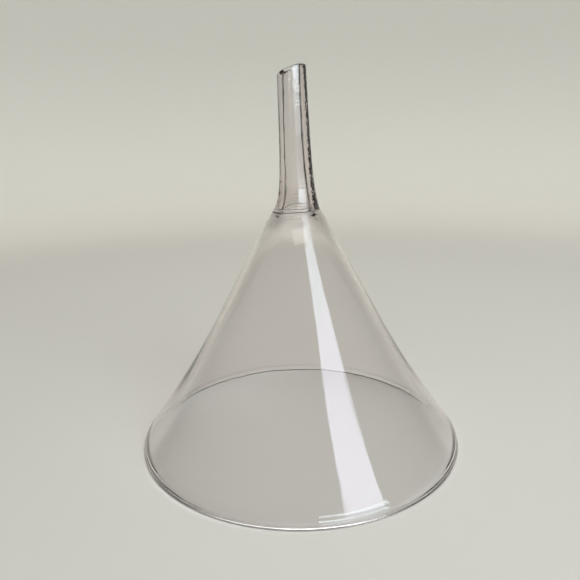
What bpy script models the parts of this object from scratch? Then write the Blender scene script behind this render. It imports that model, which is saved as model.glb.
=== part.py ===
"""Plain glass laboratory funnel, standing upside down on its ground rim.

Two pieces of glass, joined by a flame seal at the neck:
  cone  the wide conical bowl, with its flat-ground rim
  stem  the thick-walled drawn tube, with its flared foot and its slanted tip

Frame: origin at the centre of the rim's ground face, +Z up along the cone's
axis, so the rim lies on z = 0 and the stem's tip is the highest point.  The
stem is hand drawn: it leans slightly towards -X, its bore runs off centre, and
its tip is cut so that the -X side is low.  All lengths are in metres.
"""
import math

import bpy
import bmesh
from mathutils import Vector

# ------------------------------------------------------------ dimensions
MM = 0.001

RIM_RADIUS = 100.0 * MM        # outside radius of the rim: 200 mm across
RIM_LIP = 3.6 * MM             # height of the upright outer lip of the rim
RIM_BEVEL = 0.45 * MM          # small bevel on both edges of the ground face
WALL = 2.9 * MM                # wall of the bowl, measured horizontally

SEAM_Z = 144.5 * MM            # height of the flame seal between the pieces
SEAM_GAP = 0.3 * MM            # gap that the two pieces keep at the seal
NECK_RADIUS = 14.4 * MM        # outside of the bowl where it meets the stem
CONE_SLOPE = 0.545             # radius gained for each unit of height
FLARE_HEIGHT = 75.0 * MM       # below this the sides curve outwards
FLARE_REACH = 10.0 * MM        # how far they have curved out at z = 0
NECK_BORE = 7.9 * MM           # inside radius of the bowl at the seal
NECK_THICKENING = 8.0 * MM     # length over which the neck's wall thickens

STEM_LENGTH = 81.3 * MM        # seal to the high side of the tip
STEM_TIP_RADIUS = 8.10 * MM    # outside radius at the tip
STEM_TAPER = 0.0205            # radius gained for each unit towards the foot
FOOT_FLARE = 4.15 * MM         # extra radius of the flared foot at the seal
FOOT_LENGTH = 9.5 * MM         # length over which the flare dies away
STEM_LEAN = math.radians(1.8)  # lean of the drawn tube towards -X
STEM_SET_OFF = 1.2 * MM        # the tube's axis meets the seal this far to +X
SET_OFF_LENGTH = 5.0 * MM      # the foot swings back to centre over this length
BORE_RATIO_FOOT = 0.570        # bore radius as a share of the outside radius
BORE_RATIO_TIP = 0.525
BORE_BOW = -0.6 * MM           # the bore bows this far off the tube's axis

TIP_SLANT_X = 0.296            # the tip's cut rises this much towards +X
TIP_SLANT_Y = -0.075           # and this much towards +Y
TIP_CENTRE_Z = 223.35 * MM     # height of the cut on the stem's axis

CONE_STEPS = 72
STEM_STEPS = 40


# --------------------------------------------------------------- profiles
def cone_outer(z):
    """Outside radius of the bowl at height z."""
    r = NECK_RADIUS + CONE_SLOPE * (SEAM_Z - z)
    if z < FLARE_HEIGHT:
        r += FLARE_REACH * (1.0 - z / FLARE_HEIGHT) ** 2
    return min(r, RIM_RADIUS)


def cone_inner(z):
    """Inside radius of the bowl: parallel to the outside, thick at the neck."""
    neck = cone_outer(SEAM_Z) - WALL - NECK_BORE
    share = math.exp(-((SEAM_Z - z) / NECK_THICKENING) ** 1.5)
    r = NECK_RADIUS + CONE_SLOPE * (SEAM_Z - z)
    if z < FLARE_HEIGHT:
        r += FLARE_REACH * (1.0 - z / FLARE_HEIGHT) ** 2
    return min(r, RIM_RADIUS) - WALL - neck * share


def stem_outer(s):
    """Outside radius of the stem at height s above the seal."""
    return (STEM_TIP_RADIUS + STEM_TAPER * (STEM_LENGTH - s)
            + FOOT_FLARE * math.exp(-s / FOOT_LENGTH))


def stem_bore(s):
    t = max(0.0, min(1.0, s / STEM_LENGTH))
    ratio = BORE_RATIO_FOOT + (BORE_RATIO_TIP - BORE_RATIO_FOOT) * t
    return ratio * stem_outer(s)


def tube_axis(s):
    """Sideways place of the tube's axis at height s above the seal."""
    return (STEM_SET_OFF * (1.0 - math.exp(-max(s, 0.0) / SET_OFF_LENGTH))
            - math.tan(STEM_LEAN) * s)


def bore_axis(s):
    t = max(0.0, min(1.0, s / STEM_LENGTH))
    return tube_axis(s) + BORE_BOW * math.sin(math.pi * t)


def spaced(z0, z1, n, power=1.0):
    """n + 1 heights from z0 to z1, closer together near z1 when power > 1."""
    return [z0 + (z1 - z0) * (1.0 - (1.0 - i / n) ** power) for i in range(n + 1)]


# ---------------------------------------------------------------- helpers
def clear_scene():
    for ob in list(bpy.data.objects):
        bpy.data.objects.remove(ob, do_unlink=True)
    for coll in list(bpy.data.collections):
        bpy.data.collections.remove(coll)


def new_collection(name):
    coll = bpy.data.collections.new(name)
    bpy.context.scene.collection.children.link(coll)
    return coll


def glass(name, tint, roughness):
    mat = bpy.data.materials.new(name)
    mat.use_nodes = True
    bsdf = mat.node_tree.nodes["Principled BSDF"]
    bsdf.inputs["Base Color"].default_value = (*tint, 1.0)
    bsdf.inputs["Roughness"].default_value = roughness
    bsdf.inputs["Metallic"].default_value = 0.0
    bsdf.inputs["IOR"].default_value = 1.5
    bsdf.inputs["Transmission Weight"].default_value = 1.0
    mat.diffuse_color = (*tint, 0.4)
    return mat


def turned(name, points, closed, steps, coll):
    """Turn a profile of (radius, height) points about Z with a Screw modifier."""
    mesh = bpy.data.meshes.new(name)
    bm = bmesh.new()
    verts = [bm.verts.new((r, 0.0, z)) for r, z in points]
    for a, b in zip(verts, verts[1:]):
        bm.edges.new((a, b))
    if closed:
        bm.edges.new((verts[-1], verts[0]))
    bm.to_mesh(mesh)
    bm.free()
    ob = bpy.data.objects.new(name, mesh)
    coll.objects.link(ob)
    screw = ob.modifiers.new("turn", "SCREW")
    screw.axis = "Z"
    screw.angle = 2.0 * math.pi
    screw.steps = steps
    screw.render_steps = steps
    screw.screw_offset = 0.0
    screw.use_merge_vertices = True
    screw.merge_threshold = 0.00005
    screw.use_smooth_shade = True
    return ob


def box_cutter(name, size, coll):
    mesh = bpy.data.meshes.new(name)
    bm = bmesh.new()
    bmesh.ops.create_cube(bm, size=1.0)
    bmesh.ops.scale(bm, vec=size, verts=bm.verts)
    bm.to_mesh(mesh)
    bm.free()
    ob = bpy.data.objects.new(name, mesh)
    coll.objects.link(ob)
    return ob


def hide_cutter(ob):
    ob.hide_render = True
    ob.display_type = "WIRE"


def cut(ob, cutter, name):
    mod = ob.modifiers.new(name, "BOOLEAN")
    mod.operation = "DIFFERENCE"
    mod.solver = "EXACT"
    mod.object = cutter


# ------------------------------------------------------------------ build
def build_cone(coll, mat):
    """The bowl: a closed ring profile, down the outside and up the inside."""
    top = SEAM_Z - SEAM_GAP / 2.0
    heights = ([z for z in spaced(FLARE_HEIGHT, top, 5)][::-1]
               + [z for z in spaced(FLARE_HEIGHT, RIM_LIP, 8, 1.4)][1:])
    pts = [(cone_outer(z), z) for z in heights]
    pts[-1] = (RIM_RADIUS, RIM_LIP)
    # ground rim, with a small bevel on each edge
    inner_rim = cone_inner(0.0)
    pts.append((RIM_RADIUS, RIM_BEVEL))
    pts.append((RIM_RADIUS - RIM_BEVEL, 0.0))
    pts.append((inner_rim + RIM_BEVEL, 0.0))
    pts.append((inner_rim, RIM_BEVEL))
    # inside, from the rim up to the neck
    up = ([z for z in spaced(RIM_LIP, FLARE_HEIGHT, 7)]
          + [z for z in spaced(FLARE_HEIGHT, SEAM_Z - 40 * MM, 2)][1:]
          + [z for z in spaced(SEAM_Z - 40 * MM, top, 9, 1.3)][1:])
    pts += [(cone_inner(z), z) for z in up]
    ob = turned("cone", pts, True, CONE_STEPS, coll)
    ob.data.materials.append(mat)
    return ob


def drawn(ob, axis_at):
    """Fix a turned body's mesh and shift each level sideways along its axis."""
    bpy.context.view_layer.update()
    evaluated = ob.evaluated_get(bpy.context.evaluated_depsgraph_get())
    mesh = bpy.data.meshes.new_from_object(evaluated)
    mesh.name = ob.name
    ob.modifiers.clear()
    ob.data = mesh
    for vert in mesh.vertices:
        vert.co.x += axis_at(vert.co.z)


def build_stem(coll, cutters, mat):
    """The drawn tube: a solid turned body, then its bore, foot and tip cut."""
    low, high = -3.0 * MM, STEM_LENGTH + 4.0 * MM
    down = (spaced(20 * MM, high, 6)[::-1]
            + spaced(20 * MM, low, 8, 1.3)[1:])
    pts = [(0.0, high)] + [(stem_outer(s), s) for s in down] + [(0.0, low)]
    ob = turned("stem", pts, False, STEM_STEPS, coll)
    drawn(ob, tube_axis)
    ob.location = (0.0, 0.0, SEAM_Z)
    ob.data.materials.append(mat)

    # bore: runs off both ends of the tube
    low_b, high_b = low - 4.0 * MM, high + 4.0 * MM
    down = (spaced(20 * MM, high_b, 5)[::-1]
            + spaced(20 * MM, low_b, 8, 1.3)[1:])
    pts = [(0.0, high_b)] + [(stem_bore(s), s) for s in down] + [(0.0, low_b)]
    bore = turned("bore_cutter", pts, False, STEM_STEPS, cutters)
    drawn(bore, bore_axis)
    bore.location = ob.location
    hide_cutter(bore)

    # the foot is cut level, where it meets the bowl
    foot = box_cutter("foot_cutter", (60 * MM, 60 * MM, 20 * MM), cutters)
    foot.location = (0.0, 0.0, SEAM_Z + SEAM_GAP / 2.0 - 10 * MM)
    hide_cutter(foot)

    # the tip is cut on a slant
    normal = Vector((-TIP_SLANT_X, -TIP_SLANT_Y, 1.0)).normalized()
    tip = box_cutter("tip_cutter", (60 * MM, 60 * MM, 30 * MM), cutters)
    tip.rotation_mode = "QUATERNION"
    tip.rotation_quaternion = normal.to_track_quat("Z", "Y")
    on_axis = Vector((tube_axis(TIP_CENTRE_Z - SEAM_Z), 0.0, TIP_CENTRE_Z))
    tip.location = on_axis + normal * (15 * MM)
    hide_cutter(tip)

    cut(ob, bore, "bore")
    cut(ob, foot, "level_foot")
    cut(ob, tip, "slanted_tip")
    return ob


def main():
    clear_scene()
    funnel = new_collection("laboratory_funnel")
    cutters = new_collection("cutters")
    bowl_glass = glass("cone_glass", (0.93, 0.91, 0.93), 0.04)
    stem_glass = glass("stem_glass", (0.91, 0.88, 0.91), 0.05)
    build_cone(funnel, bowl_glass)
    stem = build_stem(funnel, cutters, stem_glass)
    bpy.context.view_layer.update()
    for ob in (funnel.objects["cone"], stem):
        ob.data.shade_smooth()
        ob.data.set_sharp_from_angle(angle=math.radians(35.0))


main()
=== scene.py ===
"""Laboratory funnel, standing on its rim, in glass. Metres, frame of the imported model.

Two pieces of glass: the cone and the stem drawn onto its neck. Each is one
closed shell of rings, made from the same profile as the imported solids, with
the fine unevenness of hand worked glass added.
"""

import math

import bpy
import numpy as np
from mathutils import Matrix, Vector


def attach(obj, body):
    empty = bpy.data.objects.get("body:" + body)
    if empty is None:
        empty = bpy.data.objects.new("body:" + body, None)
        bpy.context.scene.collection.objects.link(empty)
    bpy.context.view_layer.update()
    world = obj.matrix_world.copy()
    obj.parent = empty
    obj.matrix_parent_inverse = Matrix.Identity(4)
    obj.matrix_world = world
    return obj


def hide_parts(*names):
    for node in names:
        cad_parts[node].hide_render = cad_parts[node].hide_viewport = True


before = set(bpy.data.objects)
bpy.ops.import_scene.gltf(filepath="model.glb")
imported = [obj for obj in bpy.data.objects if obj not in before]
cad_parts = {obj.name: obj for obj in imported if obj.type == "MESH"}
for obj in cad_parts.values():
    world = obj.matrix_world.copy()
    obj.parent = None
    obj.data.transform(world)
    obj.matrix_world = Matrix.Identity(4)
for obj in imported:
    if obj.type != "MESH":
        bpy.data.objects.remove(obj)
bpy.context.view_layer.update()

MM = 0.001

# ---------------------------------------------------------------- sizes, mm
RIM_RADIUS = 100.0
RIM_BEVEL = 0.45
WALL = 2.9
SEAM_Z = 144.5
NECK_RADIUS = 14.4
CONE_SLOPE = 0.545
FLARE_HEIGHT = 75.0
FLARE_REACH = 8.8
RIM_BAND = 4.3  # height of the steeper band above the rim
BAND_TURN = 0.25
NECK_BORE = 7.9
NECK_THICKENING = 8.0

STEM_LENGTH = 81.3
STEM_TIP_RADIUS = 8.10
STEM_TAPER = 0.0205
FOOT_FLARE = 4.15
FOOT_LENGTH = 9.5
STEM_LEAN = math.tan(math.radians(1.8))
STEM_SET_OFF = 1.2
SET_OFF_LENGTH = 5.0
BORE_RATIO_FOOT = 0.570
BORE_RATIO_TIP = 0.525
BORE_BOW = -0.6
CUT_HEIGHT = 223.35
CUT_RISE_X = 0.296
CUT_RISE_Y = -0.075

SEAM_TILT = math.tan(math.radians(2.5))  # the seal runs lower on the -X side
COLLAR = 1.85  # height of the collar at the foot of the stem
SEAM_CLEAR = -0.01  # the sealed faces pass each other by a hair, so no air film mirrors light


# ---------------------------------------------------------------- helpers
def smooth(a, b, x):
    t = np.clip((x - a) / (b - a), 0.0, 1.0)
    return t * t * (3 - 2 * t)


def bell(x, at, width):
    return np.exp(-(((x - at) / width) ** 2))


def ang(theta, at, width):
    """A bell round the ring, about the angle at, in radians."""
    d = (theta - at + math.pi) % (2 * math.pi) - math.pi
    return np.exp(-((d / width) ** 2))


def ripple(theta, z, seed, count, around, along, power=0.0):
    """A sum of slow waves, round the ring and along it: about -1 to 1."""
    rng = np.random.RandomState(seed)
    total = 0.0
    for _ in range(count):
        k = rng.randint(around[0], around[1] + 1)
        w = rng.uniform(along[0], along[1])
        a = rng.uniform(0.5, 1.0) / (1 + power * k)
        total = total + a * np.sin(
            k * theta + 2 * math.pi * z / w * rng.choice([-1, 1]) + rng.uniform(0, 6.28)
        )
    return total / math.sqrt(count)


def grain_field(u, v, seed, wrap=None):
    """Smoothed random lattice, 0 to 1; v wraps after wrap cells."""
    rng = np.random.RandomState(seed)
    table = rng.rand(512, 256)
    u, v = np.broadcast_arrays(np.asarray(u, float), np.asarray(v, float))
    i, j = np.floor(u).astype(int), np.floor(v).astype(int)
    fu, fv = u - i, v - j
    fu, fv = fu * fu * (3 - 2 * fu), fv * fv * (3 - 2 * fv)
    n = wrap or 256
    at = lambda a, b: table[a % 512, (b % n) % 256]
    return (at(i, j) * (1 - fu) + at(i + 1, j) * fu) * (1 - fv) + (
        at(i, j + 1) * (1 - fu) + at(i + 1, j + 1) * fu
    ) * fv


def closed_shell(name, rings, slots=None, marks=()):
    """One closed piece from rings of points that wrap both ways; marks are named masks on its faces."""
    rows, around = rings.shape[:2]
    points = rings.reshape(-1, 3) * MM
    i, j = np.meshgrid(np.arange(rows), np.arange(around), indexing="ij")
    i2, j2 = (i + 1) % rows, (j + 1) % around
    quads = np.stack(
        [i * around + j, i * around + j2, i2 * around + j2, i2 * around + j], -1
    ).reshape(-1, 4)
    a, b, c, d = (points[quads[:, k]] for k in range(4))
    volume = (np.einsum("ij,ij->i", a, np.cross(b, c)) + np.einsum("ij,ij->i", a, np.cross(c, d))).sum()
    if volume < 0:
        quads = quads[:, ::-1]
    mesh = bpy.data.meshes.new(name)
    mesh.vertices.add(len(points))
    mesh.vertices.foreach_set("co", points.astype(np.float32).ravel())
    mesh.loops.add(quads.size)
    mesh.loops.foreach_set("vertex_index", quads.astype(np.int32).ravel())
    mesh.polygons.add(len(quads))
    mesh.polygons.foreach_set("loop_start", np.arange(0, quads.size, 4, dtype=np.int32))
    mesh.update(calc_edges=True)
    mesh.validate()
    mesh.polygons.foreach_set("use_smooth", np.ones(len(quads), bool))
    if slots is not None:
        mesh.polygons.foreach_set("material_index", slots.astype(np.int32).ravel())
    for label, values in marks:
        mask = mesh.attributes.new(label, "FLOAT", "FACE")
        mask.data.foreach_set("value", values.astype(np.float32).ravel())
    piece = bpy.data.objects.new(name, mesh)
    bpy.context.scene.collection.objects.link(piece)
    return piece


def crease_depth(theta):
    """The seal's crease is deep in front and nearly closed behind."""
    return 1 - 0.75 * smooth(-0.15, 0.45, np.sin(theta))


def sealed_grime_and_shade(theta):
    """Where the crease of the seal is painted dark, partly dirt held in it and partly painted shade for the dark
    line the crease makes: all along the front, in dabs behind.
    """
    front = -np.sin(theta[0])
    dabs = grain_field(theta[0] * 9.0, 0.0, 81)
    return ((front > -0.12) | (dabs > 0.93)).astype(int)


# ---------------------------------------------------------------- cone
def cone_profile(z, lip_soft, band_soft):
    """Straight wall, flare, a steeper band above the rim, and a lip that turns upright."""
    z = np.asarray(z, float)
    r = NECK_RADIUS + CONE_SLOPE * (SEAM_Z - z)
    r = r + np.where(z < FLARE_HEIGHT, FLARE_REACH * (1 - z / FLARE_HEIGHT) ** 2, 0.0)
    x = (RIM_BAND - z) / band_soft
    r = r - BAND_TURN * band_soft * (np.maximum(x, 0) + np.log1p(np.exp(-np.abs(x))))
    x = (RIM_RADIUS - r) / lip_soft
    return RIM_RADIUS - lip_soft * (np.maximum(x, 0) + np.log1p(np.exp(-np.abs(x))))


def cone_outer(z):
    return cone_profile(z, 0.16, 0.20)


def cone_inner(z):
    z = np.asarray(z, float)
    up = np.clip(SEAM_Z - z, 0, None) / NECK_THICKENING
    thick = WALL + (NECK_RADIUS - WALL - NECK_BORE) * np.exp(-(up**1.5))
    return cone_profile(z, 0.35, 0.60) - thick


def seal_lean(z, r, theta):
    """The seal is not quite level; the rings near it lean with it, and level out away from it."""
    return SEAM_TILT * r * np.cos(theta) * (1 - smooth(0, 14, np.abs(z - SEAM_Z)))


# the stem's foot is set into the neck on a steep seat, outside and inside edge
SEAT_OUT = (13.35, SEAM_Z)
SEAT_IN_Z = SEAM_Z - 3.0
SEAT_IN = (float(cone_inner(SEAT_IN_Z)), SEAT_IN_Z)


def make_cone():
    around = 288
    theta = np.linspace(0, 2 * math.pi, around, endpoint=False)[None, :]
    b = RIM_BEVEL
    up_rows = np.concatenate(
        [
            np.linspace(b + 0.15, 6.0, 44),
            np.linspace(6.4, 8.4, 6),
            np.linspace(9.0, 128.0, 66),
            np.linspace(129.5, 141.5, 14),
            np.linspace(142.0, 143.5, 7),
        ]
    )
    rings = []

    def ring(r, z):
        r = r + np.zeros_like(theta)
        z = z + np.zeros_like(theta)
        rings.append(np.stack([r * np.cos(theta), r * np.sin(theta), z], -1)[0])

    def outer_wave(z):
        fade = smooth(1.0, 9.0, z)
        w = 0.085 * ripple(theta, z, 11, 7, (1, 5), (70, 190))
        w = w + 0.010 * ripple(theta, z, 12, 9, (3, 14), (14, 40)) * fade
        w = w + 0.020 * ripple(theta, z, 13, 8, (2, 9), (5, 12)) * smooth(112, 138, z)
        w = w + 0.022 * ripple(theta, z, 14, 6, (0, 3), (1.7, 3.0)) * smooth(133, 141, z)
        # a thumb-sized hollow left by the tool beside the neck, and two small stones
        for at, zz, dx, dz, depth in (
            (math.radians(-152), 134.5, 2.3, 2.6, -0.16),
            (math.radians(-139), 113.0, 0.9, 0.9, 0.10),
            (math.radians(-146), 108.5, 0.7, 0.8, 0.08),
            (math.radians(-58), 61.0, 0.8, 1.0, 0.07),
            (math.radians(-121), 34.0, 0.9, 0.8, 0.08),
            (math.radians(71), 82.0, 1.0, 0.9, 0.09),
        ):
            r = cone_outer(zz)
            w = w + depth * ang(theta, at, dx / r) * bell(z, zz, dz)
        return w

    def inner_wave(z):
        w = 0.15 * ripple(theta, z, 21, 7, (1, 5), (60, 170))
        w = w + 0.012 * ripple(theta, z, 22, 9, (3, 15), (12, 36)) * smooth(1, 9, z)
        # the wall is thinner low down on the front right, and behind on the left
        w = w + 0.45 * ang(theta, math.radians(-60), 0.34) * smooth(80, 5, z)
        w = w + 0.30 * ang(theta, math.radians(128), 0.45) * smooth(95, 15, z)
        return w + 0.03 * ripple(theta, z, 23, 8, (2, 8), (6, 14)) * smooth(112, 138, z)

    # foot ring: ground flat, with a small arris outside and inside
    r_out, r_in = float(cone_outer(b)), float(cone_inner(b))
    chips = sum(
        d * ang(theta, math.radians(a), w / 100)
        for a, w, d in (
            (-103, 0.8, 0.25),
            (-71, 0.5, 0.18),
            (-24, 0.9, 0.22),
            (38, 0.6, 0.2),
            (141, 0.8, 0.22),
            (-158, 0.5, 0.2),
        )
    )
    wob = outer_wave(0.0)
    for t in np.linspace(0, 1, 7)[:-1]:  # outer arris, going up
        a = t * math.pi / 2
        ring(r_out - b - chips * 0.6 + b * math.sin(a) + wob, b - b * math.cos(a) + chips * (1 - t) * 0.5)
    for z in up_rows:
        r = cone_outer(z) + outer_wave(z)
        ring(r, z + seal_lean(z, r, theta))
    # seam shoulder, then the seat
    groove = (len(rings) + 4, len(rings) + 8)
    for t in np.linspace(0, 1, 9):
        a = t * math.pi / 2
        zc = SEAM_Z - SEAM_CLEAR
        edge = 0.85 * crease_depth(theta)
        r = NECK_RADIUS + 0.05 - edge * (1 - math.cos(a)) + outer_wave(144.0) * (1 - t)
        z = zc - edge * 0.95 * (1 - math.sin(a))
        ring(r, z + seal_lean(z, r, theta))
    seat = (len(rings) - 1, len(rings) + 5)
    for t in (0.0, 0.25, 0.5, 0.75, 0.995, 1.0):
        r = SEAT_OUT[0] + (SEAT_IN[0] - SEAT_OUT[0]) * t
        z = SEAT_OUT[1] + (SEAT_IN[1] - SEAT_OUT[1]) * t
        ring(r, z - SEAM_CLEAR + seal_lean(z, r, theta))
    down = np.concatenate(
        [
            [SEAT_IN_Z - 0.02],
            np.linspace(SEAT_IN_Z - 0.5, 129.0, 22),
            np.linspace(127.5, 9.0, 66),
            np.linspace(8.4, 6.4, 6),
            np.linspace(6.0, b + 0.15, 40),
        ]
    )
    for z in down:
        r = cone_inner(z) + inner_wave(z) * smooth(SEAT_IN_Z, SEAT_IN_Z - 2.0, z)
        ring(r, z + seal_lean(z, r, theta))
    wob = inner_wave(0.0)
    for t in np.linspace(0, 1, 7)[1:]:  # inner arris, going down
        a = t * math.pi / 2
        ring(r_in + b * (1 - math.cos(a)) + wob, b * (1 - math.sin(a)))
    for t in (0.25, 0.5, 0.75):
        ring(r_in + b + (r_out - r_in - 2 * b) * t + 0.0, 0.0)
    index = np.zeros((len(rings), around), int)
    # a patch of the cone's side of the seal crease, front left, takes the dark seal paint: dirt, and painted shade
    # in the crease
    index[groove[0] : groove[1]] = ang(theta[0], math.radians(-148), 0.36) > 0.45
    fused = np.zeros_like(index)
    fused[seat[0] : seat[1]] = 1
    return closed_shell("funnel_cone", np.array(rings), index, [("fused", fused)])


# ---------------------------------------------------------------- stem
def stem_outer(s):
    return (
        STEM_TIP_RADIUS
        + STEM_TAPER * (STEM_LENGTH - s)
        + FOOT_FLARE * np.exp(-np.maximum(s, 0) / FOOT_LENGTH)
    )


def stem_bore(s):
    share = BORE_RATIO_FOOT + (BORE_RATIO_TIP - BORE_RATIO_FOOT) * s / STEM_LENGTH
    return share * stem_outer(s)


def tube_axis(s):
    return STEM_SET_OFF * (1 - np.exp(-np.maximum(s, 0) / SET_OFF_LENGTH)) - STEM_LEAN * s


def bore_axis(s):
    return tube_axis(s) + BORE_BOW * np.sin(math.pi * np.clip(s / STEM_LENGTH, 0, 1))


def cut_z(x, y):
    """Height of the slanted tip; x and y in mm."""
    s = CUT_HEIGHT - SEAM_Z
    dx = x - float(tube_axis(s))
    return CUT_HEIGHT + CUT_RISE_X * dx + CUT_RISE_Y * y - 0.012 * dx * dx


def make_stem():
    around = 224
    theta = np.linspace(0, 2 * math.pi, around, endpoint=False)[None, :]
    cos, sin = np.cos(theta), np.sin(theta)
    rings = []

    def ring(r, z, ax):
        r = r + np.zeros_like(theta)
        z = z + np.zeros_like(theta)
        rings.append(np.stack([ax + r * cos, r * sin, z], -1)[0])

    right = math.radians(-27)  # the drawing seam, on the +X side

    def beads(s):
        """Where the drawing seam holds beads and burnt specks, 0 to 1."""
        low = smooth(52, 12, s)  # the seam widens towards the foot, and turns a little to the front
        d = (theta - right + 0.025 * low + math.pi) % (2 * math.pi) - math.pi
        wide = 0.22 + 0.03 * low
        g = 0.55 * grain_field(s / 1.2, (d + 3) * 12.0, 71) + 0.45 * grain_field(s / 0.6, (d + 3) * 26.0, 72)
        patchy = 0.68 + 0.32 * grain_field(s / 5.0, 0.0, 73)
        spots = sum(
            a * bell(s, at, 0.55) * ang(theta, math.radians(turn), 0.075)
            for at, turn, a in ((76.6, -35, 0.9), (73.6, -33, 0.9), (69.0, -24, 0.7), (17.0, -158, 0.7))
        )
        return g * (patchy + 0.08 * low) * 1.25 * np.exp(-((d / wide) ** 4)) + spots

    slots = []

    def outer_wave(s):
        fade = smooth(0.0, 3.0, s)
        w = 0.030 * ripple(theta, s, 31, 8, (2, 7), (60, 200))
        w = w + 0.010 * ripple(theta, s, 32, 8, (8, 22), (50, 160))
        w = w + 0.012 * ripple(theta, s, 33, 7, (2, 8), (6, 16))
        w = w + 0.020 * ripple(theta, s, 36, 6, (0, 3), (1.5, 2.8)) * smooth(30, 10, s)
        w = w + 0.012 * ripple(theta, s, 37, 7, (0, 6), (1.1, 2.4)) * smooth(50, 66, s)
        # the drawing seam: a low ridge with beads and pits along it
        rough = 0.5 + 0.5 * ripple(theta, s, 34, 12, (0, 5), (2.0, 7.0))
        near = ang(theta, right, 0.16) * (0.55 + 0.45 * smooth(40, 5, s))
        w = w + 0.10 * near * rough - 0.08 * ang(theta, right + 0.17, 0.08) * (0.4 + 0.6 * rough)
        w = w - 0.20 * smooth(0.38, 0.60, beads(s))
        w = w + 0.05 * ang(theta, right - 0.36, 0.07) * ripple(theta, s, 35, 9, (0, 4), (1.6, 6.0))
        # a finer line at the front and one behind
        w = w + 0.035 * ang(theta, math.radians(-97), 0.07)
        w = w - 0.030 * ang(theta, math.radians(-172), 0.10)
        w = w + 0.030 * ang(theta, math.radians(80), 0.08)
        return w * fade

    def bore_wave(s):
        w = 0.05 * ripple(theta, s, 41, 8, (1, 4), (50, 160))
        return w + 0.018 * ripple(theta, s, 42, 9, (2, 9), (9, 26))

    foot = SEAM_Z + SEAM_CLEAR
    # foot shoulder, from the sealed face outwards and up
    r0 = float(stem_outer(0.0))
    bore0 = float(stem_bore(0.0))
    for t in (1.0, 0.995, 0.75, 0.5, 0.25, 0.0):
        r = SEAT_OUT[0] + (SEAT_IN[0] - SEAT_OUT[0]) * t
        z = SEAT_OUT[1] + (SEAT_IN[1] - SEAT_OUT[1]) * t
        ring(r, z + SEAM_CLEAR + seal_lean(z, r, theta), 0.0)
    groove = (len(rings), len(rings) + 7)
    for t in np.linspace(0, 1, 9):
        a = t * math.pi / 2
        edge = 0.55 * crease_depth(theta)
        r = r0 - edge * (1 - math.sin(a))
        z = foot + edge * (1 - math.cos(a))
        ring(r, z + seal_lean(z, r, theta), 0.0)
    top = CUT_HEIGHT - SEAM_Z
    outer_s = np.concatenate(
        [np.linspace(0.65, 3.0, 24), np.linspace(3.3, 14.0, 25), np.linspace(14.4, top - 6.6, 150), np.linspace(top - 6.0, top - 1.2, 10)]
    )
    crease = []
    for s in outer_s:
        if abs(s - COLLAR) < 0.16:
            crease.append(len(rings))
        lift = smooth(top - 26, top, s)
        ax = float(tube_axis(s))
        # a low collar above the seal, closed by a fine crease
        collar = 0.22 * bell(s, 0.95, 0.75) - 0.22 * bell(s, COLLAR, 0.17)
        r = stem_outer(s) + outer_wave(s) + collar
        z = SEAM_Z + s + (cut_z(ax + r * cos, r * sin) - CUT_HEIGHT) * lift
        z = z + seal_lean(SEAM_Z + s, r, theta)
        slots.append((len(rings), beads(s)[0] > 0.375 - 0.035 * float(smooth(30, 60, s))))
        ring(r, z, ax)
    tip_first = len(rings)
    # the cut tip: rounded outer edge, a nearly flat uneven face, rounded inner edge
    ax = float(tube_axis(top))
    bx = float(bore_axis(top))
    ro, ri = float(stem_outer(top)), float(stem_bore(top))
    edge, inner_edge = 0.65, 0.7
    fracture = 0.10 * ripple(theta, 0.0, 51, 10, (3, 19), (50, 60)) + 0.06 * ripple(
        theta, 0.0, 52, 9, (15, 42), (50, 60)
    )
    chip = sum(
        d * ang(theta, math.radians(a), w)
        for a, w, d in ((-18, 0.13, 0.8), (-2, 0.08, 0.5), (-118, 0.10, 0.35), (-151, 0.16, 0.45), (96, 0.1, 0.4))
    )
    for t in np.linspace(0, 1, 10):
        a = t * math.pi / 2
        r = ro - edge * (1 - math.cos(a)) + outer_wave(top) * (1 - t) - 0.25 * chip * t
        z = cut_z(ax + r * cos, r * sin) - edge * 0.9 * (1 - math.sin(a))
        ring(r, z + (fracture - chip * 0.7) * t, ax)
    for t in (0.25, 0.5, 0.75):
        r = (ro - edge) + (ri + inner_edge - ro + edge) * t
        mid = ax + (bx - ax) * t
        bump = 0.12 * ripple(theta, 0.0, 60 + int(t * 8), 10, (2, 26), (50, 60))
        ring(r, cut_z(mid + r * cos, r * sin) + fracture * (1 - t) + bump - chip * 0.5 * (1 - t), mid)
    for t in np.linspace(0, 1, 8):
        a = t * math.pi / 2
        r = ri + inner_edge * (1 - math.sin(a))
        z = cut_z(bx + r * cos, r * sin) - inner_edge * 0.8 * (1 - math.cos(a))
        ring(r, z, bx)
    tip_last = len(rings)
    down = np.concatenate([np.linspace(top - 1.6, top - 6.0, 8), np.linspace(top - 7.0, 8.0, 80), np.linspace(7.2, 0.6, 14)])
    for s in down:
        lift = smooth(top - 26, top, s)
        bx = float(bore_axis(s))
        r = stem_bore(s) + bore_wave(s) * smooth(0.0, 4.0, s)
        z = SEAM_Z + s + (cut_z(bx + r * cos, r * sin) - CUT_HEIGHT) * lift
        z = z + seal_lean(SEAM_Z + s, r, theta)
        ring(r, z, bx)
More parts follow.
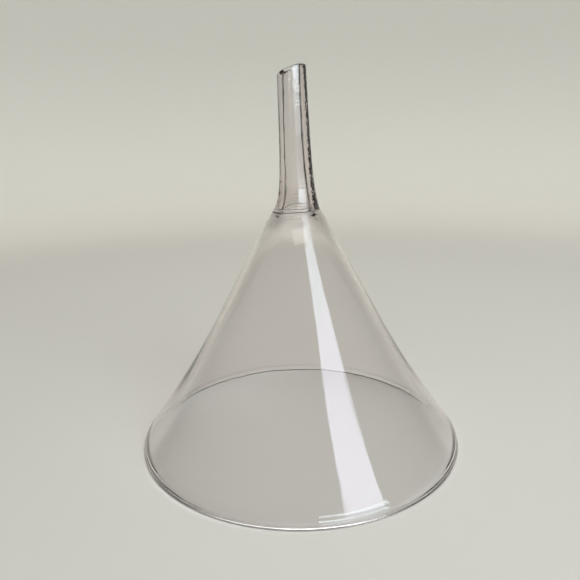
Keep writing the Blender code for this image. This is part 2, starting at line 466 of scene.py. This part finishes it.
    # inside the neck, down to the seat
    for z in np.concatenate([np.linspace(SEAM_Z + 0.3, SEAT_IN_Z + 0.35, 10), [SEAT_IN_Z + 0.02]]):
        r = cone_inner(min(z, SEAM_Z)) + (bore0 - NECK_BORE) * smooth(SEAM_Z - 2, SEAM_Z, z)
        ring(r, z + seal_lean(z, r, theta), 0.0)
    index = np.zeros((len(rings), around), int)
    for row, specks in slots:
        index[row] = np.where(specks, 1, 0)
    for row in range(tip_first + 7, tip_first + 15):  # the cut is painted near black on its near left side: painted shade for the dark bore opening seen there
        painted_cut_shade = ang(theta[0], math.radians(-124), 0.42) * (0.55 + 0.6 * grain_field(theta[0] * 22.0, row * 0.8, 85))
        index[row] = painted_cut_shade > 0.42
    cut = np.zeros_like(index)
    cut[tip_first + 2 : tip_last - 2] = 1
    fused = np.zeros_like(index)
    fused[: groove[0]] = 1
    # the seal's crease takes the dark seal paint: dirt, and painted shade for the crease's dark line
    index[groove[0] : groove[1]] = 2 * sealed_grime_and_shade(theta)
    # the collar's fine crease is painted dark in broken dabs on its near half: dirt, and painted shade in the crease
    for row in crease:
        index[row] = 2 * (sin[0] < 0.1) * (grain_field(theta[0] * 14.0 + 60, 0.0, 83 + row) > 0.22)
    return closed_shell("funnel_stem", np.array(rings), index, [("cut", cut), ("fused", fused)])


# ---------------------------------------------------------------- glass
def node(nt, kind, at, **values):
    n = nt.nodes.new(kind)
    n.location = at
    for k, v in values.items():
        setattr(n, k, v)
    return n


def glass(name, tint, density, streak_scale, haze, cut_tip=False):
    """Old clear glass: faint tint in the body, wiped haze, hairline scratches."""
    m = bpy.data.materials.new(name)
    m.use_nodes = True
    nt = m.node_tree
    nt.nodes.clear()
    out = node(nt, "ShaderNodeOutputMaterial", (900, 0))
    bsdf = node(nt, "ShaderNodeBsdfPrincipled", (600, 0))
    bsdf.inputs["Base Color"].default_value = (1, 1, 1, 1)
    bsdf.inputs["Metallic"].default_value = 0.0
    bsdf.inputs["IOR"].default_value = 1.50
    bsdf.inputs["Transmission Weight"].default_value = 1.0
    nt.links.new(bsdf.outputs["BSDF"], out.inputs["Surface"])
    vol = node(nt, "ShaderNodeVolumeAbsorption", (600, -300))
    vol.inputs["Color"].default_value = (*tint, 1)
    vol.inputs["Density"].default_value = density
    nt.links.new(vol.outputs["Volume"], out.inputs["Volume"])

    where = node(nt, "ShaderNodeTexCoord", (-1300, 0))
    # wiped haze: broad cloudy patches
    cloud = node(nt, "ShaderNodeTexNoise", (-900, 200))
    cloud.inputs["Scale"].default_value = 26.0
    cloud.inputs["Detail"].default_value = 5.0
    cloud.inputs["Roughness"].default_value = 0.6
    nt.links.new(where.outputs["Object"], cloud.inputs["Vector"])
    patch = node(nt, "ShaderNodeMapRange", (-650, 200), clamp=True)
    patch.inputs["From Min"].default_value = 0.48
    patch.inputs["From Max"].default_value = 0.78
    patch.inputs["To Min"].default_value = 0.0
    patch.inputs["To Max"].default_value = haze
    nt.links.new(cloud.outputs["Fac"], patch.inputs["Value"])
    # hairline scratches: a stretched noise, only its narrow middle values
    stretch = node(nt, "ShaderNodeMapping", (-1100, -150))
    stretch.inputs["Scale"].default_value = (900, 40, 60)
    stretch.inputs["Rotation"].default_value = (0.5, 0.9, 0.35)
    nt.links.new(where.outputs["Object"], stretch.inputs["Vector"])
    hair = node(nt, "ShaderNodeTexNoise", (-900, -150))
    hair.inputs["Scale"].default_value = 1.0
    hair.inputs["Detail"].default_value = 1.0
    nt.links.new(stretch.outputs["Vector"], hair.inputs["Vector"])
    line = node(nt, "ShaderNodeMapRange", (-650, -150), clamp=True)
    line.inputs["From Min"].default_value = 0.735
    line.inputs["From Max"].default_value = 0.76
    line.inputs["To Min"].default_value = 0.0
    line.inputs["To Max"].default_value = 0.10
    nt.links.new(hair.outputs["Fac"], line.inputs["Value"])
    rough = node(nt, "ShaderNodeMath", (-350, 50), operation="ADD")
    nt.links.new(patch.outputs["Result"], rough.inputs[0])
    nt.links.new(line.outputs["Result"], rough.inputs[1])
    # no surface is left where the two parts are fused: light goes straight on
    sealed = node(nt, "ShaderNodeAttribute", (100, 500))
    sealed.attribute_name = "fused"
    bend = node(nt, "ShaderNodeMapRange", (350, 500), clamp=True)
    bend.inputs["To Min"].default_value = 1.50
    bend.inputs["To Max"].default_value = 1.0
    nt.links.new(sealed.outputs["Fac"], bend.inputs["Value"])
    nt.links.new(bend.outputs["Result"], bsdf.inputs["IOR"])
    if cut_tip:  # the cut end: ground and chipped, dulled by use
        edge = node(nt, "ShaderNodeAttribute", (-900, 700))
        edge.attribute_name = "cut"
        pits = node(nt, "ShaderNodeTexNoise", (-900, 450))
        pits.inputs["Scale"].default_value = 800.0
        pits.inputs["Detail"].default_value = 4.0
        nt.links.new(where.outputs["Object"], pits.inputs["Vector"])
        dull = node(nt, "ShaderNodeMapRange", (-650, 450))
        dull.inputs["To Min"].default_value = 0.10
        dull.inputs["To Max"].default_value = 0.55
        nt.links.new(pits.outputs["Fac"], dull.inputs["Value"])
        worn = node(nt, "ShaderNodeMath", (-400, 450), operation="MULTIPLY_ADD")
        nt.links.new(edge.outputs["Fac"], worn.inputs[0])
        nt.links.new(dull.outputs["Result"], worn.inputs[1])
        nt.links.new(rough.outputs["Value"], worn.inputs[2])
        nt.links.new(worn.outputs["Value"], bsdf.inputs["Roughness"])
        grey = node(nt, "ShaderNodeValToRGB", (-400, 700))
        grey.color_ramp.elements[0].color = (1, 1, 1, 1)
        grey.color_ramp.elements[1].color = (0.68, 0.675, 0.67, 1)
        nt.links.new(edge.outputs["Fac"], grey.inputs["Fac"])
        nt.links.new(grey.outputs["Color"], bsdf.inputs["Base Color"])
    else:
        nt.links.new(rough.outputs["Value"], bsdf.inputs["Roughness"])
    # surface: fine drawing lines along the height, with orange peel
    draw = node(nt, "ShaderNodeMapping", (-1100, -500))
    draw.inputs["Scale"].default_value = (streak_scale, streak_scale, streak_scale * 0.12)
    nt.links.new(where.outputs["Object"], draw.inputs["Vector"])
    lines = node(nt, "ShaderNodeTexNoise", (-900, -500))
    lines.inputs["Scale"].default_value = 1.0
    lines.inputs["Detail"].default_value = 2.0
    nt.links.new(draw.outputs["Vector"], lines.inputs["Vector"])
    bump = node(nt, "ShaderNodeBump", (300, -300))
    bump.inputs["Strength"].default_value = 0.35
    bump.inputs["Distance"].default_value = 0.00004
    nt.links.new(lines.outputs["Fac"], bump.inputs["Height"])
    nt.links.new(bump.outputs["Normal"], bsdf.inputs["Normal"])
    return m


def speck(name, dark=(0.008, 0.006, 0.006, 1), pale=(0.06, 0.05, 0.048, 1)):
    """Burnt specks and open blisters along the drawing seam; the same near-black paint marks the cut's near left as
    painted shade, and in grime colours darkens the seal's crease as dirt and painted shade.
    """
    m = bpy.data.materials.new(name)
    m.use_nodes = True
    nt = m.node_tree
    bsdf = nt.nodes["Principled BSDF"]
    bsdf.inputs["IOR"].default_value = 1.50
    bsdf.inputs["Specular IOR Level"].default_value = 0.22
    where = node(nt, "ShaderNodeTexCoord", (-900, 0))
    grain = node(nt, "ShaderNodeTexNoise", (-700, 0))
    grain.inputs["Scale"].default_value = 1400.0
    grain.inputs["Detail"].default_value = 3.0
    nt.links.new(where.outputs["Object"], grain.inputs["Vector"])
    ramp = node(nt, "ShaderNodeValToRGB", (-450, 100))
    ramp.color_ramp.elements[0].position = 0.36
    ramp.color_ramp.elements[0].color = dark
    ramp.color_ramp.elements[1].position = 0.66
    ramp.color_ramp.elements[1].color = pale
    nt.links.new(grain.outputs["Fac"], ramp.inputs["Fac"])
    nt.links.new(ramp.outputs["Color"], bsdf.inputs["Base Color"])
    rough = node(nt, "ShaderNodeMapRange", (-450, -150))
    rough.inputs["To Min"].default_value = 0.06
    rough.inputs["To Max"].default_value = 0.34
    nt.links.new(grain.outputs["Fac"], rough.inputs["Value"])
    nt.links.new(rough.outputs["Result"], bsdf.inputs["Roughness"])
    bump = node(nt, "ShaderNodeBump", (-250, -300))
    bump.inputs["Strength"].default_value = 0.8
    bump.inputs["Distance"].default_value = 0.00015
    nt.links.new(grain.outputs["Fac"], bump.inputs["Height"])
    nt.links.new(bump.outputs["Normal"], bsdf.inputs["Normal"])
    return m


cone = make_cone()
stem = make_stem()
cone.data.materials.append(glass("bowl_clear_glass", (0.425, 0.21, 0.19), 28.0, 260, 0.05))
stem.data.materials.append(glass("stem_clear_glass", (0.425, 0.21, 0.19), 28.0, 900, 0.06, cut_tip=True))
stem.data.materials.append(speck("seam_specks_and_cut_shade"))
# dark paint for the seal's crease: dirt held there, and painted shade for the dark line the crease makes
GRIME_AND_SHADE = ((0.03, 0.026, 0.024, 1), (0.11, 0.10, 0.095, 1))
stem.data.materials.append(speck("seal_grime_and_shade", *GRIME_AND_SHADE))
cone.data.materials.append(stem.data.materials[2])

for piece, cad, slot in ((cone, "cone", "bowl_glass"), (stem, "stem", "stem_glass")):
    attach(piece, "root")
    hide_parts(cad)


# ---------------------------------------------------------------- stage
def stage_material(name):
    m = bpy.data.materials.new(name)
    m.use_nodes = True
    nt = m.node_tree
    bsdf = nt.nodes["Principled BSDF"]
    bsdf.inputs["Roughness"].default_value = 0.85
    bsdf.inputs["Specular IOR Level"].default_value = 0.2
    where = node(nt, "ShaderNodeTexCoord", (-1500, 0))
    apart = node(nt, "ShaderNodeSeparateXYZ", (-1300, 0))
    nt.links.new(where.outputs["Object"], apart.inputs[0])
    # pale behind the object and near it on the floor; further out, the cove and wall to the sides and in front are
    # painted near black, painted shade standing in for an unlit room
    def math_node(op, a, b, at):
        n = node(nt, "ShaderNodeMath", at, operation=op)
        for k, v in enumerate((a, b)):
            if v is None:
                continue
            if isinstance(v, (int, float)):
                n.inputs[k].default_value = v
            else:
                nt.links.new(v, n.inputs[k])
        return n.outputs[0]

    def ramp_node(value, low, high, at):
        n = node(nt, "ShaderNodeMapRange", at, clamp=True, interpolation_type="SMOOTHSTEP")
        n.inputs["From Min"].default_value = low
        n.inputs["From Max"].default_value = high
        nt.links.new(value, n.inputs["Value"])
        return n.outputs["Result"]

    length = node(nt, "ShaderNodeVectorMath", (-1100, 250), operation="LENGTH")
    flat = node(nt, "ShaderNodeCombineXYZ", (-1200, 250))
    nt.links.new(apart.outputs["X"], flat.inputs["X"])
    nt.links.new(apart.outputs["Y"], flat.inputs["Y"])
    nt.links.new(flat.outputs[0], length.inputs[0])
    away = ramp_node(length.outputs["Value"], 0.66, 1.10, (-900, 250))
    facing = math_node("DIVIDE", apart.outputs["Y"], length.outputs["Value"], (-1000, 50))
    turned = ramp_node(facing, 0.78, 0.38, (-900, 50))
    deep = math_node("MULTIPLY", away, turned, (-700, 150))
    grain = node(nt, "ShaderNodeTexNoise", (-1100, -250))
    grain.inputs["Scale"].default_value = 3.0
    grain.inputs["Detail"].default_value = 3.0
    nt.links.new(where.outputs["Object"], grain.inputs["Vector"])
    rise = ramp_node(length.outputs["Value"], 0.55, 1.15, (-900, -100))
    pale = node(nt, "ShaderNodeMix", (-750, -100), data_type="RGBA")
    pale.inputs["A"].default_value = (0.560, 0.540, 0.485, 1)
    pale.inputs["B"].default_value = (0.81, 0.780, 0.690, 1)
    nt.links.new(rise, pale.inputs["Factor"])
    mix = node(nt, "ShaderNodeMix", (-600, 50), data_type="RGBA")
    nt.links.new(pale.outputs["Result"], mix.inputs["A"])
    # painted shade: near-black paint for the sides and front of the sweep
    mix.inputs["B"].default_value = (0.07, 0.07, 0.068, 1)
    nt.links.new(deep, mix.inputs["Factor"])
    nt.links.new(mix.outputs["Result"], bsdf.inputs["Base Color"])
    fine = node(nt, "ShaderNodeTexNoise", (-900, -450))
    fine.inputs["Scale"].default_value = 220.0
    fine.inputs["Detail"].default_value = 3.0
    nt.links.new(where.outputs["Object"], fine.inputs["Vector"])
    bump = node(nt, "ShaderNodeBump", (-300, -300))
    bump.inputs["Strength"].default_value = 0.10
    bump.inputs["Distance"].default_value = 0.0004
    nt.links.new(fine.outputs["Fac"], bump.inputs["Height"])
    nt.links.new(bump.outputs["Normal"], bsdf.inputs["Normal"])
    return m


def make_stage():
    """A round sweep: level floor, wide cove, upright wall."""
    flat, cove, height = 0.80, 0.40, 1.10
    profile = [(r, 0.0) for r in (0.02, 0.12, 0.25, 0.45, 0.62, flat)]
    for t in np.linspace(0, 1, 17)[1:]:
        a = t * math.pi / 2
        profile.append((flat + cove * math.sin(a), cove * (1 - math.cos(a))))
    profile += [(flat + cove, z) for z in (0.6, 0.85, height)]
    around = 96
    verts, faces = [(0.0, 0.0, -0.00006)], []
    for r, z in profile:
        for k in range(around):
            a = 2 * math.pi * k / around
            verts.append((r * math.cos(a), r * math.sin(a), z - 0.00006))
    for k in range(around):
        faces.append((0, 1 + k, 1 + (k + 1) % around))
    for i in range(len(profile) - 1):
        for k in range(around):
            a, b = 1 + i * around, 1 + (i + 1) * around
            faces.append((a + k, b + k, b + (k + 1) % around, a + (k + 1) % around))
    mesh = bpy.data.meshes.new("sweep")
    mesh.from_pydata(verts, [], faces)
    mesh.polygons.foreach_set("use_smooth", [True] * len(faces))
    o = bpy.data.objects.new("sweep", mesh)
    bpy.context.scene.collection.objects.link(o)
    mesh.materials.append(stage_material("sweep_paint"))
    return o


make_stage()

scene = bpy.context.scene
scene.view_settings.view_transform = "Standard"
scene.view_settings.look = "None"
scene.cycles.blur_glossy = 0.0
scene.cycles.max_bounces = 24
scene.cycles.glossy_bounces = 16
scene.cycles.transmission_bounces = 24
scene.view_settings.exposure = 0.0

world = bpy.data.worlds.new("studio_sky")
scene.world = world
world.use_nodes = True
wt = world.node_tree
wn = wt.nodes["Background"]
sky_at = node(wt, "ShaderNodeTexCoord", (-900, 0))
sky_parts = node(wt, "ShaderNodeSeparateXYZ", (-700, 0))
wt.links.new(sky_at.outputs["Generated"], sky_parts.inputs[0])
sky_ramp = node(wt, "ShaderNodeMapRange", (-500, 0), clamp=True, interpolation_type="SMOOTHSTEP")
sky_ramp.inputs["From Min"].default_value = 0.74
sky_ramp.inputs["From Max"].default_value = 0.93
wt.links.new(sky_parts.outputs["Z"], sky_ramp.inputs["Value"])
sky_mix = node(wt, "ShaderNodeMix", (-300, 0), data_type="RGBA")
sky_mix.inputs["A"].default_value = (0.06, 0.06, 0.063, 1)
sky_mix.inputs["B"].default_value = (0.97, 0.97, 0.97, 1)
wt.links.new(sky_ramp.outputs["Result"], sky_mix.inputs["Factor"])
wt.links.new(sky_mix.outputs["Result"], wn.inputs["Color"])
wn.inputs["Strength"].default_value = 1.7


def towards(azimuth, elevation):
    """Unit vector from the object; azimuth from -Y towards +X."""
    a, e = math.radians(azimuth), math.radians(elevation)
    return Vector((math.sin(a) * math.cos(e), -math.cos(a) * math.cos(e), math.sin(e)))


def area(name, place, aim, width, height, power, colour):
    light = bpy.data.lights.new(name, "AREA")
    light.shape = "RECTANGLE"
    light.size, light.size_y = width, height
    light.energy = power
    light.color = colour
    o = bpy.data.objects.new(name, light)
    o.matrix_world = Matrix.Translation(place) @ (Vector(aim) - Vector(place)).to_track_quat("-Z", "Y").to_matrix().to_4x4()
    bpy.context.scene.collection.objects.link(o)
    return o


def window_pane(name, az0, az1, z0, z1, radiance, colour):
    """A tall soft pane at WINDOW_FAR, facing the object."""
    mid, half = (az0 + az1) / 2, (az1 - az0) / 2
    reach = 2 * WINDOW_FAR * math.tan(math.radians(half))
    direction = towards(mid, 0.0)
    place = direction * WINDOW_FAR + Vector((0, 0, (z0 + z1) / 2))
    o = area(name, place, place - direction, reach, z1 - z0, 1.0, colour)
    o.visible_camera = False
    o.data.energy = radiance * math.pi * reach * (z1 - z0)
    return o


# broad soft box, high and a little in front, for the floor and the sweep
fill = area("fill", (0.35, -0.9, 2.25), (0, 0.25, 0.1), 1.5, 1.1, 15.0, (1.0, 0.99, 0.97))
fill.visible_camera = False
fill.visible_glossy = False

WINDOW_FAR = 1.08
SKY = (0.78, 0.90, 1.0)
window_pane("window_high", 28.0, 55.0, 0.84, 1.38, 4.8, SKY)
window_pane("window_mid", 28.0, 55.0, 0.56, 0.84, 5.2, (0.82, 0.84, 1.0))
window_pane("window_low", 28.0, 56.0, 0.318, 0.55, 9.0, SKY)
window_pane("window_side", 10.0, 28.0, 0.318, 0.52, 9.0, SKY)
window_pane("window_sill", 10.0, 55.0, 0.245, 0.316, 3.0, SKY)
window_pane("window_foot", 12.0, 54.0, 0.120, 0.243, 1.0, SKY)


# ---------------------------------------------------------------- camera
def make_camera():
    pitch, yaw, roll = (math.radians(v) for v in (15.821, -0.779, -1.279))
    fwd = Vector((math.sin(yaw) * math.cos(pitch), math.cos(yaw) * math.cos(pitch), -math.sin(pitch)))
    right = Vector((math.cos(yaw), -math.sin(yaw), 0))
    up = right.cross(fwd)
    x = math.cos(roll) * right + math.sin(roll) * up
    y = -math.sin(roll) * right + math.cos(roll) * up
    data = bpy.data.cameras.new("camera")
    data.sensor_width = 36.0
    data.lens = 35.94
    data.clip_start = 0.02
    data.clip_end = 20.0
    o = bpy.data.objects.new("camera", data)
    m = Matrix.Identity(4)
    for k, v in enumerate((x, y, -fwd)):
        for row in range(3):
            m[row][k] = v[row]
    o.matrix_world = Matrix.Translation((0, -0.34202, 0.19232)) @ m
    bpy.context.scene.collection.objects.link(o)
    bpy.context.scene.camera = o


make_camera()
